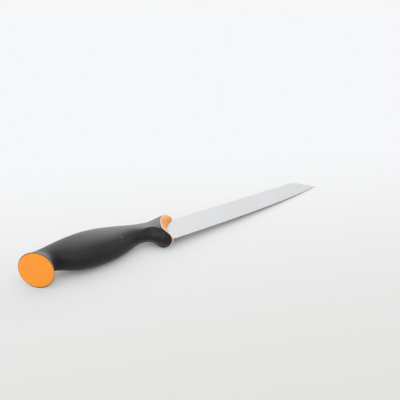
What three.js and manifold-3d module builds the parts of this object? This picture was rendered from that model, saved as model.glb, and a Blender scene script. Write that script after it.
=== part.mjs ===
// Bread knife: a serrated steel blade in a two-shot moulded handle, lying at rest on its left side.
//
// Knife frame, in millimetres: the blade's middle plane is z = 0, its spine is the line y = 0, +x runs
// to the tip, and x = 0 is where the spine leaves the handle. The whole knife is then tipped and
// lowered into the pose in which it rests on a table, z = 0, under the middle of its box.
import * as THREE from 'three';
import { LoftGeometry } from 'three/addons/geometries/LoftGeometry.js';
import { mergeVertices } from 'three/addons/utils/BufferGeometryUtils.js';
import Module from 'manifold-3d';

const wasm = await Module();
wasm.setup();

// ---- Driving dimensions -------------------------------------------------------------------------

const GAP = 0.3; // clearance kept between neighbouring pieces

const BLADE = {
  thickness: 1.8, // at the spine and all along the tang
  edgeThickness: 0.5, // at the cutting edge, before the serrations are ground
  kink: [182, 0], // where the straight spine turns down into the clipped tip
  clipBulge: [192, -7.5], // control point of the slightly bowed clip
  tip: [198, -21.6],
  edgeBow: [108, -31.6], // control point of the cutting edge
  heel: [-22.8, -28.5], // hidden inside the guard
};

const GRINDER = { length: 280, size: 60 }; // larger than the blade it cuts

// Scallops ground into the upper face; start is measured along the edge from the heel.
const SERRATION = {
  pitch: 5.8,
  radius: 5, // of the cylinder that grinds one scallop
  stroke: 16, // that cylinder's length
  sides: 30,
  tilt: 20, // degrees between the cylinder and the blade's face
  arch: 2.2, // how far the scallop climbs from the edge
  start: 8,
  plainTip: 4,
};

const TANG = {
  end: -102,
  top: -0.4,
  bottom: -10.4,
  shoulder: [-14, -8], // where the step down from the spine to the tang's top ends and begins
  corner: 4, // cut across the corner between the heel and the tang
  holes: [-48, -70, -92], // the core's plastic grips the tang through these
  holeRadius: 2.5,
};

// The handle's skin is carried by three rails. Each station gives the rail points at the spine side
// (top), at the widest line of the flank (side) and at the edge side (bottom), then the fullness of
// the section above and below the side rail (2 is an ellipse). Around the finger scoop, crest is the
// height at which the scoop begins, from 0 at the side rail to -1 at the bottom, and hollow is the
// share of the width that it takes away.
const STATIONS = {
  buttRim: { top: [-146.3, 0.5], side: [-136.6, -10, 15.6], bottom: [-126.9, -20.5], full: [2, 2] },
  flare: { top: [-140.3, 6.7], side: [-130.8, -4.2, 11], bottom: [-124, -12.7], full: [2, 2] },
  buttNeck: { top: [-129.5, 10.8], side: [-122.4, -2, 9.3], bottom: [-119, -12.3], full: [2, 2] },
  palmStart: { top: [-114, 13.5], side: [-111, -1.6, 11], bottom: [-109.8, -19.2], full: [2.1, 2.1] },
  palmSwell: { top: [-93, 13.4], side: [-93.5, -1, 14], bottom: [-94, -23], full: [2, 2.1] },
  palmEnd: { top: [-72.4, 11], side: [-72.8, -2, 13.2], bottom: [-73.2, -22.5], full: [2, 2.1] },
  waist: {
    top: [-53.1, 7.3],
    side: [-53.4, -4.2, 10.6],
    bottom: [-53.7, -16.8],
    full: [2.1, 2],
    crest: -0.92,
    hollow: 0.06,
  },
  fingerGroove: {
    top: [-36.7, 7.3],
    side: [-38, -6.6, 7.6],
    bottom: [-37.5, -15.9],
    full: [2.1, 2],
    crest: -0.38,
    hollow: 0.36,
  },
  guardBack: {
    top: [-26, 5.6],
    side: [-32.3, -11.1, 7.9],
    bottom: [-32.6, -22.6],
    full: [2.2, 2],
    crest: 0,
    hollow: 0.45,
  },
  guardRidge: {
    top: [-18.5, 6],
    side: [-28.8, -14.1, 8.9],
    bottom: [-29.4, -28.4],
    full: [2.3, 2.2],
    crest: -0.2,
    hollow: 0.28,
  },
  frontRim: { top: [-1.4, 8.2], side: [-25.3, -16, 10.4], bottom: [-23.1, -30.4], full: [2.4, 2.3] },
};
const NO_CREST = -0.98; // where there is no scoop

// The pieces inside the butt start at a share of the way from the butt rim to the next station: first
// the end of the recess that holds the cap, then the grip's lining, then the core.
const GRIP = { thickness: 2.2, buttWall: 0.4, edgeRound: 0.3, recessEnd: 0.4, liningStart: 0.52 };
const CORE_START = 0.62;

// The orange front: a thin lip around the rim, then a dome that closes onto the blade along the nose line.
const LIP = { back: 0.45, width: 0.8, height: 0.4, inset: 0.7 };
const NOSE = {
  line: [
    [-21.8, -31],
    [-20.6, -25.9],
    [-16.9, -15.5],
    [-15.3, -11.8],
    [-11.2, -7.6],
    [-2.6, -1.1],
    [0.6, 0.9],
    [-0.4, 5.4],
  ],
  halfWidth: 1.6,
  flatBelow: -12, // the guard's front is flat under this height and turns into a dome
  domeAbove: -3,
  swell: 0.55, // 1 is a full quarter-round dome, 0 a straight slope
};

// The cap's back is given as CORE_START is; its spigot is measured inwards from the butt face.
const CAP = {
  back: 0.36,
  sides: 24, // of the spigot
  edgeRound: 0.4,
  spigotRadius: 4.5,
  spigotRoot: 1,
  spigotEnd: 11,
  spigotChamfer: 1,
};

const REST = { roll: 2.3, tilt: 2.61 }; // degrees the resting knife is turned, about +x and about +y

const AROUND = 44; // points around a handle section
const PER_STATION = 5; // sections from one station to the next
const DOME_RINGS = 5;
const EDGE_POINTS = 40; // along the cutting edge
const CURVE_STEPS = 10; // along the clip's bow, and along each half of a tang hole
const WELD = 1e-3; // points closer than this are one point

// ---- Solids and curves --------------------------------------------------------------------------

// Joins coincident points, drops triangles without area and makes a solid of what is left.
function solid(geometry) {
  const bare = new THREE.BufferGeometry();
  bare.setAttribute('position', geometry.attributes.position);
  bare.setIndex(geometry.index);
  const merged = mergeVertices(bare, WELD);
  const corners = merged.index.array;
  const triVerts = [];
  for (let i = 0; i < corners.length; i += 3) {
    const [a, b, c] = corners.slice(i, i + 3);
    if (a !== b && b !== c && c !== a) triVerts.push(a, b, c);
  }
  return new wasm.Manifold(
    new wasm.Mesh({
      numProp: 3,
      vertProperties: new Float32Array(merged.attributes.position.array),
      triVerts: new Uint32Array(triVerts),
    }),
  );
}

function meshOf(name, body, material) {
  const { vertProperties, triVerts } = body.getMesh();
  const geometry = new THREE.BufferGeometry();
  geometry.setAttribute('position', new THREE.BufferAttribute(vertProperties, 3));
  geometry.setIndex(new THREE.BufferAttribute(triVerts, 1));
  geometry.computeVertexNormals();
  const mesh = new THREE.Mesh(geometry, new THREE.MeshStandardMaterial(material));
  mesh.name = name;
  return mesh;
}

// Natural cubic spline through the points (xs[i], ys[i]); xs rises.
function spline(xs, ys) {
  const last = xs.length - 1;
  const slope = (i) => (ys[i + 1] - ys[i]) / (xs[i + 1] - xs[i]);
  const bend = new Array(last + 1).fill(0);
  const ratio = new Array(last + 1).fill(0);
  for (let i = 1; i < last; i++) {
    const before = xs[i] - xs[i - 1];
    const after = xs[i + 1] - xs[i];
    const pivot = 2 * (before + after) - before * ratio[i - 1];
    ratio[i] = after / pivot;
    bend[i] = (6 * (slope(i) - slope(i - 1)) - before * bend[i - 1]) / pivot;
  }
  for (let i = last - 1; i > 0; i--) bend[i] -= ratio[i] * bend[i + 1];
  return (x) => {
    let i = 0;
    while (i < last - 1 && x > xs[i + 1]) i++;
    const h = xs[i + 1] - xs[i];
    const a = (xs[i + 1] - x) / h;
    const b = (x - xs[i]) / h;
    const curve = (a ** 3 - a) * bend[i] + (b ** 3 - b) * bend[i + 1];
    return a * ys[i] + b * ys[i + 1] + (curve * h * h) / 6;
  };
}

// ---- Handle skin --------------------------------------------------------------------------------

const stations = Object.values(STATIONS);
const knots = stations.map((station) => station.side[0]);
const along = (pick) => spline(knots, stations.map(pick));
const rails = {
  topX: along((s) => s.top[0]),
  topY: along((s) => s.top[1]),
  sideY: along((s) => s.side[1]),
  sideZ: along((s) => s.side[2]),
  bottomX: along((s) => s.bottom[0]),
  bottomY: along((s) => s.bottom[1]),
  fullAbove: along((s) => s.full[0]),
  fullBelow: along((s) => s.full[1]),
  crest: along((s) => s.crest ?? NO_CREST),
  hollow: along((s) => s.hollow ?? 0),
};
const BUTT = knots[0];
const LAST = knots.length - 1;
const RIM = knots[LAST];

// Station number, with fractions, to the x of the side rail.
function stationX(number) {
  const i = Math.min(Math.floor(number), knots.length - 2);
  return knots[i] + (knots[i + 1] - knots[i]) * (number - i);
}

// One section of the skin, drawn in by inset and pushed forward along x.
function section(x, inset = 0, forward = 0) {
  const sideY = rails.sideY(x);
  const topX = rails.topX(x);
  const bottomX = rails.bottomX(x);
  const lean = (topX - bottomX) / 2;
  const sweep = (topX + bottomX) / 2 - x;
  const crest = Math.max(rails.crest(x), NO_CREST);
  const points = [];
  for (let i = 0; i < AROUND; i++) {
    const angle = (i / AROUND) * 2 * Math.PI;
    const c = Math.cos(angle);
    const s = Math.sin(angle);
    const above = c >= 0;
    const power = 2 / (above ? rails.fullAbove(x) : rails.fullBelow(x));
    const reach = Math.sign(c) * Math.abs(c) ** power;
    const height = above ? rails.topY(x) - sideY : sideY - rails.bottomY(x);
    const dip = Math.max(0, (crest - reach) / (crest + 1));
    const pinch = rails.hollow(x) * dip * (2 - dip);
    const width = (rails.sideZ(x) - inset) * (1 - pinch) * Math.abs(s) ** power;
    points.push(
      new THREE.Vector3(
        x + forward + lean * reach + sweep * reach * reach,
        sideY + (height - inset) * reach,
        Math.sign(s) * width,
      ),
    );
  }
  return points;
}

function sections(from, to, inset) {
  const count = Math.round((to - from) * PER_STATION);
  const list = [];
  for (let i = 0; i <= count; i++) {
    list.push(section(stationX(from + ((to - from) * i) / count), inset));
  }
  return list;
}

// ---- Blade --------------------------------------------------------------------------------------

const edge = new THREE.QuadraticBezierCurve(
  new THREE.Vector2(...BLADE.heel),
  new THREE.Vector2(...BLADE.edgeBow),
  new THREE.Vector2(...BLADE.tip),
);

// The stamped outline; grow widens the hidden part and shrinks the holes, for the slot in the core.
function blank(grow) {
  const shape = new THREE.Shape();
  shape.moveTo(TANG.end - grow, TANG.top + grow);
  shape.lineTo(TANG.shoulder[0], TANG.top + grow);
  shape.lineTo(TANG.shoulder[1], grow);
  shape.lineTo(BLADE.kink[0], BLADE.kink[1] + grow);
  shape.quadraticCurveTo(...BLADE.clipBulge, ...BLADE.tip);
  for (const point of edge.getPoints(EDGE_POINTS).reverse().slice(1, -1)) {
    shape.lineTo(point.x, point.y - grow);
  }
  shape.lineTo(BLADE.heel[0] - grow, BLADE.heel[1] - grow);
  shape.lineTo(BLADE.heel[0] - grow, TANG.bottom - TANG.corner - grow);
  shape.lineTo(BLADE.heel[0] - TANG.corner - grow, TANG.bottom - grow);
  shape.lineTo(TANG.end - grow, TANG.bottom - grow);
  for (const x of TANG.holes) {
    const hole = new THREE.Path();
    hole.absarc(x, (TANG.top + TANG.bottom) / 2, TANG.holeRadius - grow, 0, 2 * Math.PI, false);
    shape.holes.push(hole);
  }
  const depth = BLADE.thickness + 2 * grow;
  const options = { depth, bevelEnabled: false, curveSegments: CURVE_STEPS };
  const geometry = new THREE.ExtrudeGeometry(shape, options);
  return solid(geometry.translate(0, 0, -depth / 2));
}

// A wedge that grinds one face from full thickness at the spine to the thin edge.
function grind(side) {
  const drop = (BLADE.thickness - BLADE.edgeThickness) / 2;
  const { length, size } = GRINDER;
  const wedge = new THREE.BoxGeometry(length, size, size);
  wedge.translate(BLADE.heel[0] + length / 2, -size / 2, (side * size) / 2);
  wedge.rotateX(side * Math.atan2(drop, -BLADE.heel[1]));
  wedge.translate(0, 0, (side * BLADE.thickness) / 2);
  return solid(wedge);
}

// One tilted cylinder of the row that scallops the upper face into serrations.
function scallop(travel) {
  const foot = edge.getPointAt(travel);
  const tangent = edge.getTangentAt(travel);
  const tilt = THREE.MathUtils.degToRad(SERRATION.tilt);
  const run = new THREE.Vector3(tangent.x, tangent.y, 0);
  const rise = new THREE.Vector3(-tangent.y, tangent.x, 0);
  const up = rise.clone().multiplyScalar(Math.cos(tilt)).setZ(Math.sin(tilt));
  const out = new THREE.Vector3().crossVectors(run, up);
  const middle = new THREE.Vector3(foot.x, foot.y, BLADE.edgeThickness / 2)
    .addScaledVector(rise, SERRATION.arch)
    .addScaledVector(out, SERRATION.radius);
  const { radius, stroke, sides } = SERRATION;
  const cutter = new THREE.CylinderGeometry(radius, radius, stroke, sides);
  return solid(cutter.applyMatrix4(new THREE.Matrix4().makeBasis(run, up, out).setPosition(middle)));
}

function makeBlade() {
  const ground = blank(0).subtract(grind(1)).subtract(grind(-1));
  const cutters = [];
  const length = edge.getLength();
  for (let s = SERRATION.start; s < length - SERRATION.plainTip; s += SERRATION.pitch) {
    cutters.push(scallop(s / length));
  }
  return wasm.Manifold.difference([ground, ...cutters]);
}

// ---- Handle pieces ------------------------------------------------------------------------------

// A sleeve: its outer skin from butt to rim, then its lining back again. The lining steps out at the
// butt to leave the recess that the cap sits in.
function makeGrip() {
  const { thickness, buttWall, edgeRound, recessEnd, liningStart } = GRIP;
  const rings = [
    section(BUTT, edgeRound),
    section(BUTT + edgeRound),
    ...sections(0, LAST, 0).slice(1, -1),
    section(RIM - edgeRound),
    section(RIM, edgeRound),
    ...sections(liningStart, LAST, thickness - GAP).reverse(),
    section(stationX(recessEnd), buttWall),
    section(BUTT, buttWall),
  ];
  return solid(new LoftGeometry([...rings, rings[0]]));
}

// The lip and the dome in front of the grip's rim. Each ring of the dome lies closer to the nose
// line, where the blade comes out: it moves forward first and inward last.
function frontRings() {
  const { back, width, height, inset } = LIP;
  const foot = section(RIM, inset, back + width);
  const rings = [
    section(RIM, GRIP.thickness, back),
    section(RIM, GAP, back),
    section(RIM, 0, back + height / 2),
    section(RIM, 0, back + width - height),
    section(RIM, height, back + width),
    foot,
  ];
  const lineX = spline(NOSE.line.map((p) => p[1]), NOSE.line.map((p) => p[0]));
  const low = NOSE.line[0][1];
  const tall = NOSE.line[NOSE.line.length - 1][1] - low;
  const footLow = foot[AROUND / 2].y;
  const footTall = foot[0].y - footLow;
  for (let k = 1; k <= DOME_RINGS; k++) {
    const step = k / DOME_RINGS;
    const turn = (step * Math.PI) / 2;
    const ring = foot.map((p) => {
      const y = low + ((p.y - footLow) / footTall) * tall;
      const z = Math.sign(p.z) * Math.min(Math.abs(p.z), NOSE.halfWidth);
      const target = new THREE.Vector3(lineX(y), y, z);
      const dome = NOSE.swell * THREE.MathUtils.smoothstep(y, NOSE.flatBelow, NOSE.domeAbove);
      const inward = p.clone().lerp(target, THREE.MathUtils.lerp(step, 1 - Math.cos(turn), dome));
      const ahead = THREE.MathUtils.lerp(step, Math.sin(turn), dome);
      return inward.setX(THREE.MathUtils.lerp(p.x, target.x, ahead));
    });
    rings.push(ring);
  }
  rings.push(rings[rings.length - 1].map((p) => p.clone().setZ(0)));
  return rings;
}

function makeCore() {
  const body = sections(CORE_START, LAST, GRIP.thickness);
  const skin = solid(new LoftGeometry([...body, ...frontRings()], { capStart: true }));
  return skin.subtract(blank(GAP)).subtract(spigot(GAP));
}

// The cap's round spigot, turned about the inward normal of the slanted butt face.
function spigot(grow) {
  const { top, side, bottom } = STATIONS.buttRim;
  const radius = CAP.spigotRadius + grow;
  const end = CAP.spigotEnd + grow;
  const { spigotRoot, spigotChamfer } = CAP;
  const profile = [
    [0, spigotRoot],
    [radius, spigotRoot],
    [radius, end - spigotChamfer],
    [radius - spigotChamfer, end],
    [0, end],
  ];
  const turned = new THREE.LatheGeometry(profile.map(([r, h]) => new THREE.Vector2(r, h)), CAP.sides);
  const down = new THREE.Vector3(bottom[0] - top[0], bottom[1] - top[1], 0).normalize();
  const inward = new THREE.Vector3(-down.y, down.x, 0);
  const across = new THREE.Vector3().crossVectors(down, inward);
  const place = new THREE.Matrix4().makeBasis(down, inward, across).setPosition(side[0], side[1], 0);
  return solid(turned.applyMatrix4(place));
}

function makeCap() {
  const rim = GRIP.buttWall + GAP;
  const rings = [
    section(BUTT, rim + CAP.edgeRound),
    section(BUTT + CAP.edgeRound, rim),
    section(stationX(CAP.back), rim),
  ];
  return solid(new LoftGeometry(rings, { capStart: true, capEnd: true })).add(spigot(0));
}

// ---- Assembly -----------------------------------------------------------------------------------

const ORANGE = { color: 0xf58a22, roughness: 0.45, metalness: 0 };
const BLACK = { color: 0x1d1d1f, roughness: 0.75, metalness: 0 };
const STEEL = { color: 0xc9ccd0, roughness: 0.3, metalness: 1 };

const knife = new THREE.Group();
knife.add(meshOf('blade', makeBlade(), STEEL));
knife.add(meshOf('handle_core', makeCore(), ORANGE));
knife.add(meshOf('soft_grip', makeGrip(), BLACK));
knife.add(meshOf('butt_cap', makeCap(), ORANGE));
knife.rotation.set(THREE.MathUtils.degToRad(REST.roll), THREE.MathUtils.degToRad(REST.tilt), 0);

const root = new THREE.Group();
root.add(knife);
root.updateMatrixWorld(true);
const box = new THREE.Box3().setFromObject(knife, true);
const centre = box.getCenter(new THREE.Vector3());
knife.position.set(-centre.x, -centre.y, -box.min.z);

export default root;
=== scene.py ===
"""Bread knife lying at rest on a pale table: fine meshes and procedural materials over the CAD frame.

Shapes are worked out in the knife frame, in millimetres: the blade's middle plane is z = 0, its spine
is the line y = 0, +x runs to the tip, and x = 0 is where the spine leaves the handle.
"""
import math

import bmesh
import bpy
import numpy as np
from mathutils import Euler, Matrix, Vector


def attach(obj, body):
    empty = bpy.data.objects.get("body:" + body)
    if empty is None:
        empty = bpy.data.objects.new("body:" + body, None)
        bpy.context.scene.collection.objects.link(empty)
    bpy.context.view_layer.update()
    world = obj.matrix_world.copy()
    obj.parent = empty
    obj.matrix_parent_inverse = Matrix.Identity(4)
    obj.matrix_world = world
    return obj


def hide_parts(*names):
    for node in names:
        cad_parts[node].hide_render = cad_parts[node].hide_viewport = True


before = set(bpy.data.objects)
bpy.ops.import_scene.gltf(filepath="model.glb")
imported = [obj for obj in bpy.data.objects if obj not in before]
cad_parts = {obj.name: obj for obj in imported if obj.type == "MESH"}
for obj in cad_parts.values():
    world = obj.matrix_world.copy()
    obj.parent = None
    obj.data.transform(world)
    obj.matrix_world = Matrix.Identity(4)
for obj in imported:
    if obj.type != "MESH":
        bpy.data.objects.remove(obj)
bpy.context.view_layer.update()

METRE = 1000  # millimetres

# ---- Blade, in millimetres -------------------------------------------------------------------------

BLADE_THICKNESS = 1.8
EDGE_THICKNESS = 0.5
CORNER_BREAK = 0.12  # softens the blade's sharp corners
KINK = (182, 0)  # the clip leaves the straight spine here
CLIP_BULGE = (192, -7.5)
TIP = (198, -21.6)
EDGE_BOW = (108, -31.6)
HEEL = (-22.8, -28.5)

SCALLOP_PITCH = 5.8
SCALLOP_RADIUS = 5
SCALLOP_TILT = math.radians(20)
SCALLOP_ARCH = 2.2  # how far a scallop climbs from the edge
SCALLOP_START = 8  # along the edge from the heel
PLAIN_TIP = 4
CUTTER_REACH = 6  # the grinding slab reaches this far up and down the blade
CUTTER_ROWS = 13
CUTTER_DEPTH = 8  # the slab's thickness
CUTTER_STEP = 0.2  # along the edge

TANG_END = -102
TANG_TOP = -0.4
TANG_BOTTOM = -10.4
TANG_SHOULDER = (-14, -8)
TANG_CORNER = 4
TANG_HOLES = (-48, -70, -92)
TANG_HOLE_RADIUS = 2.5
HOLE_SIDES = 32

CLIP_POINTS = 40
EDGE_POINTS = 2001
EDGE_STRIDE = 50  # the blade's outline takes one edge point in this many
TANGENT_STEP = 0.1

GROUND_SLANT = (12, 40)  # degrees off the blade's face that mark a ground scallop
SHEARED_SLANT = (60, 120)  # and a sheared edge

# ---- Handle, in millimetres ------------------------------------------------------------------------

NO_CREST = -0.98  # where there is no finger scoop

# Rail points at the spine side, the widest line of the flank and the edge side; fullness of the
# section above and below the flank line; where the finger scoop's crest lies between the rails
# (0 at the flank line, -1 at the edge side) and how deep the scoop is.
STATIONS = [
    ((-146.3, 0.5), (-136.6, -10, 15.6), (-126.9, -20.5), (2, 2), NO_CREST, 0),  # butt rim
    ((-140.3, 6.7), (-130.8, -4.2, 11), (-124, -12.7), (2, 2), NO_CREST, 0),  # flare
    ((-129.5, 10.8), (-122.4, -2, 9.3), (-119, -12.3), (2, 2), NO_CREST, 0),  # butt neck
    ((-114, 13.5), (-111, -1.6, 11), (-109.8, -19.2), (2.1, 2.1), NO_CREST, 0),  # palm start
    ((-93, 13.4), (-93.5, -1, 14), (-94, -23), (2, 2.1), NO_CREST, 0),  # palm swell
    ((-72.4, 11), (-72.8, -2, 13.2), (-73.2, -22.5), (2, 2.1), NO_CREST, 0),  # palm end
    ((-53.1, 7.3), (-53.4, -4.2, 10.6), (-53.7, -16.8), (2.1, 2), -0.92, 0.06),  # waist
    ((-36.7, 7.3), (-38, -6.6, 7.6), (-37.5, -15.9), (2.1, 2), -0.38, 0.36),  # finger groove
    ((-26, 5.6), (-32.3, -11.1, 7.9), (-32.6, -22.6), (2.2, 2), 0, 0.45),  # guard back
    ((-18.5, 6), (-28.8, -14.1, 8.9), (-29.4, -28.4), (2.3, 2.2), -0.2, 0.28),  # guard ridge
    ((-1.4, 8.2), (-25.3, -16, 10.4), (-23.1, -30.4), (2.4, 2.3), NO_CREST, 0),  # front rim
]
AROUND = 160
PER_STATION = 14

GRIP_THICKNESS = 2.2
BUTT_WALL = 0.42
BUTT_CHAMFER = 0.12
RIM_ROUND = 0.45
RIM_LOOPS = (1, 1.6)  # insets of two loops across the rim's end face
ROUND_STEPS = 5
SEAM = 0.06  # between the moulded pieces

# Counted in stations: 0 is the butt rim, 1 the next one.
SKIN_START = 0.06
SKIN_STOP = 0.12  # before the front rim
RECESS_END = 0.4
LINING_START = 0.52
LINING_STOP = 0.1  # before the front rim
CORE_START = 0.62
CAP_BACK = 0.36

NOSE_LINE = [
    (-21.8, -31), (-20.6, -25.9), (-16.9, -15.5), (-15.3, -11.8),
    (-11.2, -7.6), (-2.6, -1.1), (0.6, 0.9), (-0.4, 5.4),
]
NOSE_HALF_WIDTH = 1.6
NOSE_FLAT_BELOW = -12  # the guard's front is flat under this height and turns into a dome
NOSE_DOME_ABOVE = -3
NOSE_SWELL = 0.55  # 1 is a full quarter-round dome, 0 a straight slope
DOME_RINGS = 24
LIP_WIDTH = 0.85
LIP_ROUND = 0.42
LIP_STEPS = 8
LIP_BACK_INSET = 1.2  # the lip's back face runs in this far behind the bead
FOOT_INSET = 0.65  # where the dome rises inside the lip
FOOT_SINK = 0.05  # the dome's foot lies this far behind the lip's front

CAP_EDGE = 0.2  # how much the disc is drawn in, and over what length
CAP_EDGE_STEPS = 4
CAP_LOOPS = (0.97, 0.85, 0.65, 0.45, 0.25, 0.1)  # of the disc's radius

REST_ROLL = math.radians(2.3)
REST_TILT = math.radians(2.61)

# ---- Surfaces; colours are linear red, green and blue ----------------------------------------------

NOISE_MIDDLE = (0.3, 0.7)  # most of a noise's values lie in here
DEEPER = 0.93  # brightness of a colour's darker parts

STEEL_BROAD_SHARE = 0.7  # how far the broad patches turn the steel darker
STEEL_STRAY_LINES = 0.03  # how far the roughness strays with the grinding lines
STEEL_STRAY_BROAD = 0.02  # and with the broad patches
PLASTIC_STRAY = 0.04
RUBBER_ROUGHNESS = (0.4, 0.48)

STEEL_FACE = (0.34, 0.344, 0.35)
STEEL_GROUND = (0.42, 0.425, 0.432)
# Near black: partly the sheared faces' dull finish, partly painted shade for the dark line of shadow
# along the cutting edge.
STEEL_SHEARED_SHADE = (0.03, 0.03, 0.032)
ALONG_BLADE = (0.04, 1, 1)  # stretches of a noise that turn it into grinding lines
ACROSS_BLADE = (1, 0.04, 1)

NOSE_ORANGE = (0.75, 0.28, 0.049)
# Painted highlight: the lip's paler orange stands in for light catching its rounded bead.
LIP_HIGHLIGHT_ORANGE = (0.84, 0.54, 0.37)
CAP_ORANGE = (0.92, 0.288, 0.01)

RUBBER_DARK = (0.0075, 0.0075, 0.008)
RUBBER_LIGHT = (0.011, 0.011, 0.0115)
# Painted highlight: the rubber turns paler where it faces up, in place of light from above and behind,
# and fades out towards the butt.
TOP_HIGHLIGHT = (0.118, 0.118, 0.125)
TOP_HIGHLIGHT_UPWARD = (0.77, 1.0)  # the upward part of the normal where the painted highlight starts and is full
TOP_HIGHLIGHT_POWER = 1.8
TOP_HIGHLIGHT_ALONG = (-0.145, -0.085)  # metres along the row's x from none of the painted highlight to all of it
# One pale colour for the rub marks and for the painted reflection on the flare.
SCUFF_AND_HIGHLIGHT = (0.11, 0.11, 0.115)
SCUFFS_AND_FLARE_HIGHLIGHT = [  # middle, radii, strength: two small rub marks on the palm, and a broad painted reflection on the concave flare
    ((-65.3, -15.4, 9.1), (0.9, 2.2, 2.2), 1.0),
    ((-67.2, -17.6, 7.8), (0.5, 1.2, 1.2), 1.0),
    # painted reflection: light from the left caught by the concave flare
    ((-130, -11.5, 8.5), (10, 12, 9), 1.0),
]

# ---- Table, light and camera -----------------------------------------------------------------------

TABLE_HALF = 40  # metres from the middle to a side
TABLE_NEAR = (0.758, 0.751, 0.736)
TABLE_FAR = (0.922, 0.931, 0.943)
TABLE_SLOPE = (0.7, 1.3, 0)  # weights of the row's x and y that tell near from far
TABLE_TURN = (-0.5, 0.3)  # the weighted sums at which the near colour ends and the far one is full
TABLE_RIM = (0.6, 1.8)  # metres from the middle at which the far colour starts and is full all round
SHADOW_REACH = 0.05  # metres
SHADOW_FILL = [(0.18, 0.36), (0.3, 0.57), (0.6, 0.81)]  # share of the sky seen, brightness

BACKDROP = 0.93
SKY_TINT = (0.985, 0.992, 1.0)
SKY_DIM = 0.42  # brightness of the room beside the lights
SKY_LIGHTS = [  # direction of the middle, degrees from there to where it has faded away, strength
    ((-0.1, 0.05, 1), 95, 1.15),
    ((0.6, 0.7, 0.5), 55, 1.25),
    ((0.72, -0.7, 0.12), 40, 1.0),
]
FILL_POWER = 3.5  # watts
FILL_SIZE = 0.8  # metres
FILL_PLACE = (-1.0, -0.05, 0.45)

CAMERA_PLACE = (-241.14, -297.37, 197.62)  # knife frame, millimetres
CAMERA_TURN = (65.5, -4.405, -40.779)  # degrees
CAMERA_LENS = 40.42  # millimetres, as the sensor's width
CAMERA_SENSOR = 36
CAMERA_CLIP = (0.01, 100)  # metres

# ---- Curves and placement --------------------------------------------------------------------------


def spline(xs, ys):
    """Natural cubic spline through the points (xs[i], ys[i]); xs rises."""
    xs, ys = np.array(xs, float), np.array(ys, float)
    step = np.diff(xs)
    slope = np.diff(ys) / step
    system = np.eye(len(xs))
    target = np.zeros(len(xs))
    for i in range(1, len(xs) - 1):
        system[i, i - 1 : i + 2] = step[i - 1], 2 * (step[i - 1] + step[i]), step[i]
        target[i] = 6 * (slope[i] - slope[i - 1])
    bend = np.linalg.solve(system, target)

    def value(x):
        i = int(np.clip(np.searchsorted(xs, x) - 1, 0, len(step) - 1))
        a, b = (xs[i + 1] - x) / step[i], (x - xs[i]) / step[i]
        curve = (a**3 - a) * bend[i] + (b**3 - b) * bend[i + 1]
        return a * ys[i] + b * ys[i + 1] + curve * step[i] ** 2 / 6

    return value


KNOTS = [station[1][0] for station in STATIONS]
BUTT, RIM, LAST = KNOTS[0], KNOTS[-1], len(KNOTS) - 1
RAILS = {
    "top_x": spline(KNOTS, [s[0][0] for s in STATIONS]),
    "top_y": spline(KNOTS, [s[0][1] for s in STATIONS]),
    "side_y": spline(KNOTS, [s[1][1] for s in STATIONS]),
    "side_z": spline(KNOTS, [s[1][2] for s in STATIONS]),
    "bottom_x": spline(KNOTS, [s[2][0] for s in STATIONS]),
    "bottom_y": spline(KNOTS, [s[2][1] for s in STATIONS]),
    "full_above": spline(KNOTS, [s[3][0] for s in STATIONS]),
    "full_below": spline(KNOTS, [s[3][1] for s in STATIONS]),
    "crest": spline(KNOTS, [s[4] for s in STATIONS]),
    "hollow": spline(KNOTS, [s[5] for s in STATIONS]),
}


def station_x(number):
    """Station number, with fractions, to the x of the flank rail."""
    i = min(int(number), LAST - 1)
    return KNOTS[i] + (KNOTS[i + 1] - KNOTS[i]) * (number - i)


def section(x, inset=0.0, forward=0.0):
    """One section of the handle's skin, drawn in by inset and pushed forward along x."""
    rail = {name: curve(x) for name, curve in RAILS.items()}
    angle = np.arange(AROUND) * 2 * math.pi / AROUND
    c, s = np.cos(angle), np.sin(angle)
    above = c >= 0
    power = 2 / np.where(above, rail["full_above"], rail["full_below"])
    reach = np.sign(c) * np.abs(c) ** power
    height = np.where(above, rail["top_y"] - rail["side_y"], rail["side_y"] - rail["bottom_y"])
    crest = max(rail["crest"], NO_CREST)
    dip = np.clip((crest - reach) / (crest + 1), 0, 1)
    pinch = rail["hollow"] * dip * (2 - dip)
    width = (rail["side_z"] - inset) * (1 - pinch) * np.abs(s) ** power
    lean = (rail["top_x"] - rail["bottom_x"]) / 2
    sweep = (rail["top_x"] + rail["bottom_x"]) / 2 - x
    return np.stack(
        [
            x + forward + lean * reach + sweep * reach**2,
            rail["side_y"] + (height - inset) * reach,
            np.sign(s) * width,
        ],
        axis=1,
    )


def sections(start, end, inset):
    """Evenly spaced sections between two station numbers."""
    count = round((end - start) * PER_STATION)
    return [section(station_x(n), inset) for n in np.linspace(start, end, count + 1)]


TURN = Matrix.Rotation(REST_ROLL, 3, "X") @ Matrix.Rotation(REST_TILT, 3, "Y")


def knife_origin():
    """Where the knife frame's origin lies in the row frame, in metres, read off the CAD blade."""
    turned = np.array([TURN.transposed() @ v.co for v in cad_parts["blade"].data.vertices])
    low, high = turned.min(axis=0), turned.max(axis=0)
    return TURN @ Vector((high[0] - TIP[0] / METRE, high[1], (low[2] + high[2]) / 2))


ORIGIN = knife_origin()


def placed(points):
    """Knife frame, millimetres, to row frame, metres."""
    return np.array(points, float) / METRE @ np.array(TURN).T + np.array(ORIGIN)


# ---- Meshes ----------------------------------------------------------------------------------------


def new_object(name, points, faces):
    """A mesh object from points in the knife frame, its faces turned outwards."""
    mesh = bpy.data.meshes.new(name)
    mesh.from_pydata(placed(points).tolist(), [], faces)
    work = bmesh.new()
    work.from_mesh(mesh)
    bmesh.ops.recalc_face_normals(work, faces=work.faces)
    work.to_mesh(mesh)
    work.free()
    made = bpy.data.objects.new(name, mesh)
    bpy.context.scene.collection.objects.link(made)
    return made


def zipped(start, around):
    """Faces that close a ring of points flat, by joining each point to its mirror image."""
    half = around // 2
    faces = [(start, start + 1, start + around - 1), (start + half - 1, start + half, start + half + 1)]
    for j in range(1, half - 1):
        faces.append((start + j, start + j + 1, start + around - j - 1, start + around - j))
    return faces


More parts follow.
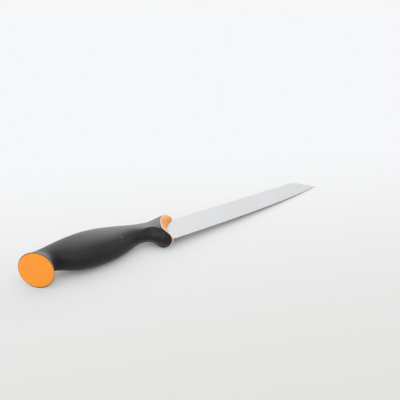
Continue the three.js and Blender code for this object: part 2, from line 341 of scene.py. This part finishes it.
def loft(name, rings, closed=False, zip_end=False):
    """Skins the rings in order. Ends get a fan of faces, but zip_end closes the last ring by joining
    mirrored points, and closed joins the last ring to the first."""
    count, around = len(rings), len(rings[0])
    points = [p for ring in rings for p in ring]
    faces = []
    for i in range(count if closed else count - 1):
        here, there = i * around, (i + 1) % count * around
        for j in range(around):
            k = (j + 1) % around
            faces.append((here + j, here + k, there + k, there + j))
    if zip_end:
        faces += zipped((count - 1) * around, around)
    ends = [] if closed else [0] if zip_end else [0, count - 1]
    for end in ends:
        points.append(np.mean(rings[end], axis=0))
        hub = len(points) - 1
        for j in range(around):
            faces.append((hub, end * around + j, end * around + (j + 1) % around))
    return new_object(name, points, faces)


def shade(piece, angle):
    """Smooth shading that breaks at edges sharper than angle, in degrees."""
    piece.data.shade_smooth()
    piece.data.set_sharp_from_angle(angle=math.radians(angle))


def apply_modifiers(piece):
    """Swaps the piece's mesh for the one that its modifiers make."""
    depsgraph = bpy.context.evaluated_depsgraph_get()
    mesh = bpy.data.meshes.new_from_object(piece.evaluated_get(depsgraph))
    piece.modifiers.clear()
    piece.data = mesh


def bezier(start, control, end, count):
    """Points along a quadratic curve."""
    t = np.linspace(0, 1, count)[:, None]
    start, control, end = np.array(start, float), np.array(control, float), np.array(end, float)
    return (1 - t) ** 2 * start + 2 * t * (1 - t) * control + t**2 * end


EDGE = bezier(HEEL, EDGE_BOW, TIP, EDGE_POINTS)
EDGE_RUN = np.concatenate([[0], np.cumsum(np.linalg.norm(np.diff(EDGE, axis=0), axis=1))])


def edge_at(run):
    """Point and unit tangent of the cutting edge at this distance from the heel."""
    behind, point, ahead = (
        np.array([np.interp(place, EDGE_RUN, EDGE[:, k]) for k in (0, 1)])
        for place in (run - TANGENT_STEP, run, run + TANGENT_STEP)
    )
    return point, (ahead - behind) / np.linalg.norm(ahead - behind)


def blade_outline():
    """The blade and its tang from the side."""
    outline = [(TANG_END, TANG_TOP), (TANG_SHOULDER[0], TANG_TOP), (TANG_SHOULDER[1], 0), (0, 0)]
    outline += [tuple(p) for p in bezier(KINK, CLIP_BULGE, TIP, CLIP_POINTS)]
    outline += [tuple(p) for p in EDGE[::-EDGE_STRIDE][1:]]
    outline += [(HEEL[0], TANG_BOTTOM - TANG_CORNER), (HEEL[0] - TANG_CORNER, TANG_BOTTOM)]
    outline += [(TANG_END, TANG_BOTTOM)]
    return outline


def blade_half_thickness(x, y):
    """Both faces are ground flat from the spine to the edge; the tang keeps its full thickness."""
    drop = (BLADE_THICKNESS - EDGE_THICKNESS) / 2
    ground = BLADE_THICKNESS / 2 - drop * y / HEEL[1]
    return ground if x >= HEEL[0] else BLADE_THICKNESS / 2


def serration_cutter():
    """A corrugated slab that grinds the whole row of scallops out of the upper face at once."""
    length = EDGE_RUN[-1]
    centres = np.arange(SCALLOP_START, length - PLAIN_TIP, SCALLOP_PITCH)
    first, last = centres[0] - SCALLOP_PITCH / 2, centres[-1] + SCALLOP_PITCH / 2
    rows = np.linspace(-CUTTER_REACH, CUTTER_REACH, CUTTER_ROWS)
    points, faces = [], []
    runs = np.arange(first, last, CUTTER_STEP)
    for run in runs:
        foot, tangent = edge_at(run)
        along = np.array([tangent[0], tangent[1], 0])
        rise = np.array([-tangent[1], tangent[0], 0])
        up = rise * math.cos(SCALLOP_TILT) + np.array([0, 0, math.sin(SCALLOP_TILT)])
        out = np.cross(along, up)
        offset = np.min(np.abs(centres - run))
        height = SCALLOP_RADIUS - math.sqrt(SCALLOP_RADIUS**2 - offset**2)
        base = np.array([*foot, EDGE_THICKNESS / 2]) + rise * SCALLOP_ARCH + out * height
        points += [base + up * row for row in rows]
        points += [base + up * row + out * CUTTER_DEPTH for row in rows[::-1]]
    loop = 2 * len(rows)
    for i in range(len(runs) - 1):
        for j in range(loop):
            k = (j + 1) % loop
            faces.append((i * loop + j, i * loop + k, (i + 1) * loop + k, (i + 1) * loop + j))
    faces.append(tuple(range(loop)))
    faces.append(tuple((len(runs) - 1) * loop + j for j in range(loop)))
    return new_object("serration_cutter", points, faces)


def hole_cutter(x):
    """A round bar across the tang, longer than the blade is thick."""
    middle = (TANG_TOP + TANG_BOTTOM) / 2
    turns = np.arange(HOLE_SIDES) * 2 * math.pi / HOLE_SIDES
    wide, high = TANG_HOLE_RADIUS * np.cos(turns), TANG_HOLE_RADIUS * np.sin(turns)
    ends = (-BLADE_THICKNESS, BLADE_THICKNESS)
    rings = [[(x + w, middle + h, z) for w, h in zip(wide, high)] for z in ends]
    return loft(f"hole_cutter_{-x}", rings)


def make_blade():
    """A flat-ground slab with softened corners, its serrations and tang holes cut out."""
    outline = blade_outline()
    count = len(outline)
    points = []
    for side in (-1, 1):
        points += [(x, y, side * blade_half_thickness(x, y)) for x, y in outline]
    faces = [tuple(range(count)), tuple(range(count, 2 * count))]
    faces += [(i, (i + 1) % count, count + (i + 1) % count, count + i) for i in range(count)]
    blade = new_object("knife_blade", points, faces)
    soften = blade.modifiers.new("edges", "BEVEL")
    soften.width = CORNER_BREAK / METRE
    soften.segments = 2
    soften.limit_method = "ANGLE"
    soften.angle_limit = math.radians(60)
    cutters = [serration_cutter()] + [hole_cutter(x) for x in TANG_HOLES]
    for cutter in cutters:
        cut = blade.modifiers.new(cutter.name, "BOOLEAN")
        cut.object = cutter
        cut.solver = "EXACT"
    apply_modifiers(blade)
    for cutter in cutters:
        bpy.data.objects.remove(cutter)
    shade(blade, angle=12)
    return blade


def make_grip():
    """A sleeve: its outer skin from butt to rim, round the rim, then its lining back again."""
    turns = np.linspace(0, math.pi / 2, ROUND_STEPS + 1)
    rings = []
    for share in np.sin(turns[:-1]):
        rings.append(section(BUTT + BUTT_CHAMFER * share, BUTT_CHAMFER * (1 - share)))
    for number in np.linspace(SKIN_START, LAST - SKIN_STOP, LAST * PER_STATION):
        rings.append(section(station_x(number)))
    for t in turns:
        rings.append(section(RIM - RIM_ROUND * (1 - math.sin(t)), RIM_ROUND * (1 - math.cos(t))))
    lining = GRIP_THICKNESS - SEAM
    rings += [section(RIM, inset) for inset in (*RIM_LOOPS, lining)]
    rings += sections(LINING_START, LAST - LINING_STOP, lining)[::-1]
    rings += [section(station_x(RECESS_END), BUTT_WALL), section(BUTT, BUTT_WALL)]
    grip = loft("grip_skin", rings, closed=True)
    shade(grip, angle=50)
    return grip


def lip_rings():
    """The half-round bead of orange plastic that frames the grip's rim."""
    rings = []
    for t in np.linspace(0, math.pi, LIP_STEPS + 1):
        inset, forward = LIP_ROUND * (1 - math.sin(t)), LIP_WIDTH * (1 - math.cos(t)) / 2
        rings.append(section(RIM, inset, SEAM + forward))
    return rings


def dome_rings(foot):
    """The nose, from its foot to the line where it meets the blade: flat low down, domed above."""
    line_x = spline([p[1] for p in NOSE_LINE], [p[0] for p in NOSE_LINE])
    low, high = NOSE_LINE[0][1], NOSE_LINE[-1][1]
    foot_low, foot_high = foot[AROUND // 2][1], foot[0][1]
    y = low + (foot[:, 1] - foot_low) / (foot_high - foot_low) * (high - low)
    z = np.clip(foot[:, 2], -NOSE_HALF_WIDTH, NOSE_HALF_WIDTH)
    target = np.stack([[line_x(v) for v in y], y, z], axis=1)
    t = np.clip((y - NOSE_FLAT_BELOW) / (NOSE_DOME_ABOVE - NOSE_FLAT_BELOW), 0, 1)
    dome = NOSE_SWELL * t * t * (3 - 2 * t)  # how much of a dome each point's way inwards is
    rings = [foot]
    for step in np.linspace(0, 1, DOME_RINGS + 1)[1:]:
        turn = step * math.pi / 2
        inward = step + (1 - math.cos(turn) - step) * dome
        ahead = step + (math.sin(turn) - step) * dome
        ring = foot + (target - foot) * inward[:, None]
        ring[:, 0] = foot[:, 0] + (target[:, 0] - foot[:, 0]) * ahead
        rings.append(ring)
    return rings


def make_core():
    """The core with its nose; the lip gets the second material, a paler orange that paints a highlight
    on its rounded bead.
    """
    rings = sections(CORE_START, LAST, GRIP_THICKNESS)
    rings += [section(RIM, inset, SEAM) for inset in (GRIP_THICKNESS, LIP_BACK_INSET)]
    lip_start = len(rings) - 1
    rings += lip_rings()
    lip_end = len(rings) - 1
    rings += dome_rings(section(RIM, FOOT_INSET, SEAM + LIP_WIDTH - FOOT_SINK))
    core = loft("core_nose", rings, zip_end=True)
    for polygon in core.data.polygons:
        on_lip = lip_start <= polygon.index // AROUND < lip_end
        polygon.material_index = 1 if on_lip else 0
    shade(core, angle=40)
    return core


def make_cap():
    """The butt's flat disc inside the grip's thin rim, drawn in a little just before its face."""
    inset = BUTT_WALL + SEAM
    rings = [section(station_x(CAP_BACK), inset + CAP_EDGE)]
    for t in np.linspace(0, math.pi / 2, CAP_EDGE_STEPS + 1):
        rings.append(section(BUTT + CAP_EDGE * math.cos(t), inset + CAP_EDGE * math.sin(t)))
    face = rings[-1]
    centre = face.mean(axis=0)
    rings += [centre + (face - centre) * scale for scale in CAP_LOOPS]
    cap = loft("cap_disc", rings)
    shade(cap, angle=35)
    return cap


# ---- Materials -------------------------------------------------------------------------------------


class Nodes:
    """A node tree under construction. A value is another node's output or a plain number or colour."""

    def __init__(self, tree):
        self.tree = tree

    def add(self, kind, **settings):
        node = self.tree.nodes.new(kind)
        for key, value in settings.items():
            setattr(node, key, value)
        return node

    def feed(self, socket, value):
        """Links the socket to another node's output, or sets it."""
        if isinstance(value, bpy.types.NodeSocket):
            self.tree.links.new(value, socket)
        elif socket.type == "RGBA":
            socket.default_value = (*value, 1)
        else:
            socket.default_value = value

    def maths(self, operation, first, second):
        """The result of an operation on two numbers."""
        node = self.add("ShaderNodeMath", operation=operation)
        self.feed(node.inputs[0], first)
        self.feed(node.inputs[1], second)
        return node.outputs["Value"]

    def vector_maths(self, operation, first, second=None):
        """The number that the operation makes of one or two vectors."""
        node = self.add("ShaderNodeVectorMath", operation=operation)
        self.feed(node.inputs[0], first)
        if second is not None:
            self.feed(node.inputs[1], second)
        return node.outputs["Value"]

    def remap(self, value, source, target=(0, 1), kind="LINEAR"):
        """Maps the range source onto the range target; values outside it are clamped."""
        node = self.add("ShaderNodeMapRange", interpolation_type=kind)
        self.feed(node.inputs["Value"], value)
        node.inputs["From Min"].default_value, node.inputs["From Max"].default_value = source
        node.inputs["To Min"].default_value, node.inputs["To Max"].default_value = target
        return node.outputs["Result"]

    def blend(self, share, first, second):
        """Mixes two colours; a share of 1 gives the second."""
        node = self.add("ShaderNodeMix", data_type="RGBA")
        self.feed(node.inputs["Factor"], share)
        self.feed(node.inputs["A"], first)
        self.feed(node.inputs["B"], second)
        return node.outputs["Result"]


class Shader(Nodes):
    """A material under construction; its patterns are placed in the row frame."""

    def __init__(self, name):
        self.material = bpy.data.materials.new(name)
        self.material.use_nodes = True
        super().__init__(self.material.node_tree)
        self.surface = self.tree.nodes["Principled BSDF"]
        self.place = self.add("ShaderNodeTexCoord").outputs["Object"]

    def set(self, name, value):
        """Gives an input of the surface its value."""
        self.feed(self.surface.inputs[name], value)

    def noise(self, scale, detail, stretch=(1, 1, 1)):
        """Noise in row coordinates; scale is in cycles per metre."""
        mapping = self.add("ShaderNodeMapping")
        mapping.inputs["Scale"].default_value = stretch
        self.feed(mapping.inputs["Vector"], self.place)
        texture = self.add("ShaderNodeTexNoise")
        texture.inputs["Scale"].default_value = scale
        texture.inputs["Detail"].default_value = detail
        self.feed(texture.inputs["Vector"], mapping.outputs["Vector"])
        return texture.outputs["Fac"]

    def spread(self, noise, low=0, high=1):
        """Maps the middle of a noise's range onto low..high."""
        return self.remap(noise, NOISE_MIDDLE, (low, high))

    def spot(self, middle, radii, strength):
        """Strength at a point given in the knife frame, in millimetres, fading to 0 over the radii."""
        local = self.add("ShaderNodeMapping", vector_type="TEXTURE")
        local.inputs["Location"].default_value = placed(middle)
        local.inputs["Rotation"].default_value = TURN.to_euler()
        local.inputs["Scale"].default_value = [r / METRE for r in radii]
        self.feed(local.inputs["Vector"], self.place)
        away = self.vector_maths("LENGTH", local.outputs["Vector"])
        return self.remap(away, (1, 0), (0, strength), "SMOOTHSTEP")

    def bump(self, height, depth):
        """Sets the relief of the surface; depth is in millimetres."""
        bump = self.add("ShaderNodeBump")
        bump.inputs["Strength"].default_value = 1.0
        bump.inputs["Distance"].default_value = depth / METRE
        self.feed(bump.inputs["Height"], height)
        self.set("Normal", bump.outputs["Normal"])


def steel(name, base, roughness, stretch):
    """Satin stainless steel with fine grinding lines; stretch sets which way they run."""
    shader = Shader(name)
    lines = shader.noise(scale=1400, detail=3, stretch=stretch)
    broad = shader.noise(scale=25, detail=3)
    darker = tuple(c * DEEPER for c in base)
    colour = shader.blend(shader.spread(lines), darker, base)
    colour = shader.blend(shader.spread(broad, high=STEEL_BROAD_SHARE), colour, darker)
    fine_rough = shader.spread(lines, roughness - STEEL_STRAY_LINES, roughness + STEEL_STRAY_LINES)
    broad_rough = shader.spread(broad, -STEEL_STRAY_BROAD, STEEL_STRAY_BROAD)
    shader.set("Metallic", 1.0)
    shader.set("Base Color", colour)
    shader.set("Roughness", shader.maths("ADD", fine_rough, broad_rough))
    shader.bump(lines, depth=0.0015)
    return shader.material


def rubber():
    """Matte black elastomer: moulded grain, faint patches, and a painted highlight, a paler colour on
    what faces up.
    """
    shader = Shader("grip_rubber")
    grain = shader.noise(scale=2600, detail=2)
    patches = shader.noise(scale=60, detail=5)
    colour = shader.blend(shader.spread(patches), RUBBER_DARK, RUBBER_LIGHT)
    normal = shader.add("ShaderNodeSeparateXYZ")
    shader.feed(normal.inputs["Vector"], shader.add("ShaderNodeTexCoord").outputs["Normal"])
    place = shader.add("ShaderNodeSeparateXYZ")
    shader.feed(place.inputs["Vector"], shader.place)
    # Painted highlight on the upward faces, fading out towards the butt.
    upward = shader.maths("POWER", shader.remap(normal.outputs["Z"], TOP_HIGHLIGHT_UPWARD), TOP_HIGHLIGHT_POWER)
    along = shader.remap(place.outputs["X"], TOP_HIGHLIGHT_ALONG)
    colour = shader.blend(shader.maths("MULTIPLY", upward, along), colour, TOP_HIGHLIGHT)
    # Rub marks on the palm; the broad flare patch is a painted reflection.
    for middle, radii, strength in SCUFFS_AND_FLARE_HIGHLIGHT:
        colour = shader.blend(shader.spot(middle, radii, strength), colour, SCUFF_AND_HIGHLIGHT)
    shader.set("Base Color", colour)
    shader.set("Roughness", shader.spread(patches, *RUBBER_ROUGHNESS))
    shader.set("Specular IOR Level", 0.23)
    shader.set("Sheen Weight", 0.12)
    shader.set("Sheen Tint", (0.95, 0.97, 1.0))
    shader.set("Sheen Roughness", 0.4)
    shader.bump(grain, depth=0.02)
    return shader.material


def plastic(name, base, roughness):
    """Moulded plastic with a fine texture and slight variation from the flow of the melt."""
    shader = Shader(name)
    grain = shader.noise(scale=3500, detail=2)
    flow = shader.noise(scale=90, detail=3)
    deeper = tuple(c * DEEPER for c in base)
    shader.set("Base Color", shader.blend(shader.spread(flow), deeper, base))
    shader.set("Roughness", shader.spread(flow, roughness - PLASTIC_STRAY, roughness + PLASTIC_STRAY))
    shader.set("Subsurface Weight", 0.08)
    shader.set("Subsurface Scale", 0.002)
    shader.bump(grain, depth=0.006)
    return shader.material


# ---- The knife -------------------------------------------------------------------------------------


def paint_blade(blade):
    """Gives the ground scallops and the sheared edges their own steel, told apart by their slant; the
    sheared edges' near-black steel is partly their dull finish and partly painted shade for the dark
    line along the cutting edge.
    """
    blade.data.materials.clear()
    for name, base, roughness, stretch in (
        ("blade_satin", STEEL_FACE, 0.34, ALONG_BLADE),
        ("serration_ground", STEEL_GROUND, 0.28, ACROSS_BLADE),
        ("blade_sheared_shade", STEEL_SHEARED_SHADE, 0.45, ALONG_BLADE),
    ):
        blade.data.materials.append(steel(name, base, roughness, stretch))
    face_up = TURN @ Vector((0, 0, 1))
    for polygon in blade.data.polygons:
        slant = math.degrees(face_up.angle(polygon.normal))
        for index, (low, high) in enumerate((GROUND_SLANT, SHEARED_SLANT), start=1):
            if low < slant < high:
                polygon.material_index = index


blade = make_blade()
paint_blade(blade)

core = make_core()
core.data.materials.append(plastic("nose_orange", NOSE_ORANGE, roughness=0.45))
# The lip's paler orange is a painted highlight on the bead.
core.data.materials.append(plastic("lip_painted_highlight", LIP_HIGHLIGHT_ORANGE, roughness=0.4))

grip = make_grip()
grip.data.materials.append(rubber())

cap = make_cap()
cap.data.materials.append(plastic("cap_orange", CAP_ORANGE, roughness=0.5))

for piece, node, slot in (
    (blade, "blade", "blade_steel"),
    (grip, "soft_grip", "black_grip"),
    (core, "handle_core", "orange_plastic"),
    (cap, "butt_cap", "cap_plastic"),
):
    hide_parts(node)
    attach(piece, "root")

# ---- Table, light and camera -----------------------------------------------------------------------


def make_floor():
    """A table that glows evenly though it is no lamp, with a painted shadow where the knife hides the
    sky, as in a lit tent.
    """
    mesh = bpy.data.meshes.new("table_top")
    corners = [(x * TABLE_HALF, y * TABLE_HALF, 0) for x, y in ((-1, -1), (1, -1), (1, 1), (-1, 1))]
    mesh.from_pydata(corners, [], [(0, 1, 2, 3)])
    floor = bpy.data.objects.new("table_top", mesh)
    bpy.context.scene.collection.objects.link(floor)
    shader = Shader("table_painted_glow")
    across = shader.vector_maths("DOT_PRODUCT", shader.place, TABLE_SLOPE)
    away = shader.vector_maths("LENGTH", shader.place)
    back = shader.remap(across, TABLE_TURN, kind="SMOOTHSTEP")
    rim = shader.remap(away, TABLE_RIM, kind="SMOOTHSTEP")
    # Painted shadow: the glow dims with the share of the sky that each point sees.
    sky_seen = shader.add("ShaderNodeAmbientOcclusion", samples=16)
    sky_seen.inputs["Distance"].default_value = SHADOW_REACH
    filled = shader.add("ShaderNodeFloatCurve")
    for seen, brightness in SHADOW_FILL:
        filled.mapping.curves[0].points.new(seen, brightness)
    filled.mapping.update()
    shader.feed(filled.inputs["Value"], sky_seen.outputs["AO"])
    far = shader.maths("MAXIMUM", back, rim)
    shader.set("Emission Color", shader.blend(far, TABLE_NEAR, TABLE_FAR))
    shader.set("Emission Strength", filled.outputs["Value"])
    shader.set("Base Color", (0, 0, 0))
    shader.set("Specular IOR Level", 0.0)
    mesh.materials.append(shader.material)


def make_sky():
    """A dim studio with three soft lights; the camera sees an even pale backdrop instead."""
    world = bpy.data.worlds.new("studio")
    bpy.context.scene.world = world
    world.use_nodes = True
    nodes = Nodes(world.node_tree)
    background = nodes.tree.nodes["Background"]
    towards = nodes.add("ShaderNodeTexCoord").outputs["Generated"]
    light = SKY_DIM
    for middle, spread, strength in SKY_LIGHTS:
        facing = nodes.vector_maths("DOT_PRODUCT", towards, Vector(middle).normalized())
        edge = math.cos(math.radians(spread))
        glow = nodes.remap(facing, (edge, 1), (0, strength), "SMOOTHSTEP")
        light = nodes.maths("ADD", light, glow)
    seen = nodes.add("ShaderNodeMix")
    nodes.feed(seen.inputs["Factor"], nodes.add("ShaderNodeLightPath").outputs["Is Camera Ray"])
    nodes.feed(seen.inputs["A"], light)
    nodes.feed(seen.inputs["B"], BACKDROP)
    nodes.feed(background.inputs["Color"], SKY_TINT)
    nodes.feed(background.inputs["Strength"], seen.outputs["Result"])


def make_fill():
    """A softbox at the butt's end, which lights the orange butt face."""
    lamp = bpy.data.lights.new("butt_fill", "AREA")
    lamp.shape = "SQUARE"
    lamp.size = FILL_SIZE
    lamp.energy = FILL_POWER
    holder = bpy.data.objects.new("butt_fill", lamp)
    holder.location = FILL_PLACE
    holder.rotation_mode = "QUATERNION"
    holder.rotation_quaternion = (-Vector(FILL_PLACE)).to_track_quat("-Z", "Y")
    bpy.context.scene.collection.objects.link(holder)


def make_camera():
    """The camera's place and turn are given in the knife frame, like the shapes."""
    data = bpy.data.cameras.new("camera")
    data.lens = CAMERA_LENS
    data.sensor_width = CAMERA_SENSOR
    data.clip_start, data.clip_end = CAMERA_CLIP
    camera = bpy.data.objects.new("camera", data)
    turn = TURN @ Euler([math.radians(a) for a in CAMERA_TURN]).to_matrix()
    camera.matrix_world = Matrix.LocRotScale(Vector(placed(CAMERA_PLACE)), turn, None)
    bpy.context.scene.collection.objects.link(camera)
    bpy.context.scene.camera = camera


make_floor()
make_sky()
make_fill()
make_camera()
bpy.context.scene.view_settings.view_transform = "Standard"
